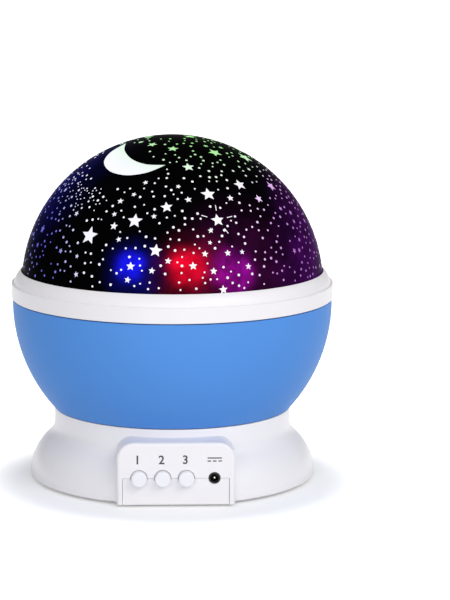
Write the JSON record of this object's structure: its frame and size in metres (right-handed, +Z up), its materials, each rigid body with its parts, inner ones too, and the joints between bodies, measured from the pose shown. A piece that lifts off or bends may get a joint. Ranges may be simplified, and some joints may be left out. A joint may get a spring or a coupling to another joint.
{
  "type": "night light projector",
  "caption": "Round night light projector: flared base with a control panel, motor-driven turning bowl, and a dark dome with star windows held by a twist-lock ring.",
  "frame": {"origin": "on the table under the turning axis, at the bottom centre of the box round the whole lamp", "axes": "+Z up along the turning axis, -Y towards the control panel, +X to the panel's right"},
  "size_m": [0.13, 0.13, 0.1389],
  "materials": {
    "white_abs": "moulded, satin gloss",
    "white_styrene": "moulded, matt",
    "blue_abs": "moulded, gloss",
    "dark_dome": "clear dome printed near black, gloss",
    "foot_rubber": "moulded, matt",
    "button_abs": "moulded, gloss",
    "stem_plastic": "moulded",
    "black_plastic": "moulded",
    "nickel_pin": "nickel plated",
    "board_laminate": "green solder resist",
    "cell_sleeve": "plain sleeve",
    "nickel_steel": "nickel plated sheet",
    "motor_steel": "bright steel",
    "gearbox_brass": "stamped plates",
    "grey_nylon": "moulded",
    "white_acetal": "moulded, self-lubricating",
    "screw_steel": "zinc plated",
    "lamp_clear": "clear epoxy",
    "lamp_red": "tinted epoxy",
    "lamp_green": "tinted epoxy",
    "lamp_blue": "tinted epoxy"
  },
  "bodies": {
    "base": {"base_shell": "white_abs", "bottom_cover": "white_abs", "rubber_feet": "foot_rubber", "base_screws": "screw_steel", "lamp_post_screws": "screw_steel", "thrust_washer": "white_acetal", "control_board": "board_laminate", "control_board_screws": "screw_steel", "push_switches": "black_plastic", "dc_jack": "black_plastic", "dc_jack_pin": "nickel_pin", "aaa_cells": "cell_sleeve", "negative_contacts": "nickel_steel", "positive_contacts": "nickel_steel", "motor_can": "motor_steel", "gearbox": "gearbox_brass", "motor_bracket": "grey_nylon", "motor_bracket_screws": "screw_steel", "lamp_post": "white_styrene", "lamp_board": "board_laminate", "lamp_board_screws": "screw_steel", "lamp_white": "lamp_clear", "lamp_red": "lamp_red", "lamp_green": "lamp_green", "lamp_blue": "lamp_blue"},
    "turret": {"bowl": "blue_abs", "ring_gear": "white_acetal", "ring_gear_screws": "screw_steel", "reflector_plate": "white_styrene", "reflector_screws": "screw_steel"},
    "shade": {"dome_ring": "white_abs", "star_dome": "dark_dome"},
    "pinion": {"motor_shaft": "motor_steel", "drive_pinion": "white_acetal"},
    "button_a": {"button_a": "button_abs", "switch_stem_a": "stem_plastic"},
    "button_b": {"button_b": "button_abs", "switch_stem_b": "stem_plastic"},
    "button_c": {"button_c": "button_abs", "switch_stem_c": "stem_plastic"},
    "battery_door": {"battery_door": "white_abs"}
  },
  "joints": [
    {"name": "turret_spin", "type": "hinge", "parent": "base", "child": "turret", "pos_m": [0, 0, 0.0292], "axis": [0, 0, 1], "continuous": true},
    {"name": "pinion_spin", "type": "hinge", "parent": "base", "child": "pinion", "pos_m": [0, 0.03, 0.0314], "axis": [0, 0, 1], "continuous": true},
    {"name": "shade_twist", "type": "hinge", "parent": "turret", "child": "shade", "pos_m": [0, 0, 0.08], "axis": [0, 0, 1], "range_deg": [0, 15]},
    {"name": "button_a_press", "type": "slide", "parent": "base", "child": "button_a", "axis": [0, 1, 0], "range_m": [0, 0.0007], "stiffness_N_per_m": 400, "springref_m": -0.001},
    {"name": "button_b_press", "type": "slide", "parent": "base", "child": "button_b", "axis": [0, 1, 0], "range_m": [0, 0.0007], "stiffness_N_per_m": 400, "springref_m": -0.001},
    {"name": "button_c_press", "type": "slide", "parent": "base", "child": "button_c", "axis": [0, 1, 0], "range_m": [0, 0.0007], "stiffness_N_per_m": 400, "springref_m": -0.001},
    {"name": "battery_door_swing", "type": "hinge", "parent": "base", "child": "battery_door", "pos_m": [-0.0266, -0.001, 0.0018], "axis": [0, 1, 0], "range_deg": [0, 70]}
  ],
  "couplings": [
    {"joint": "pinion_spin", "follows": "turret_spin", "ratio": 6}
  ]
}
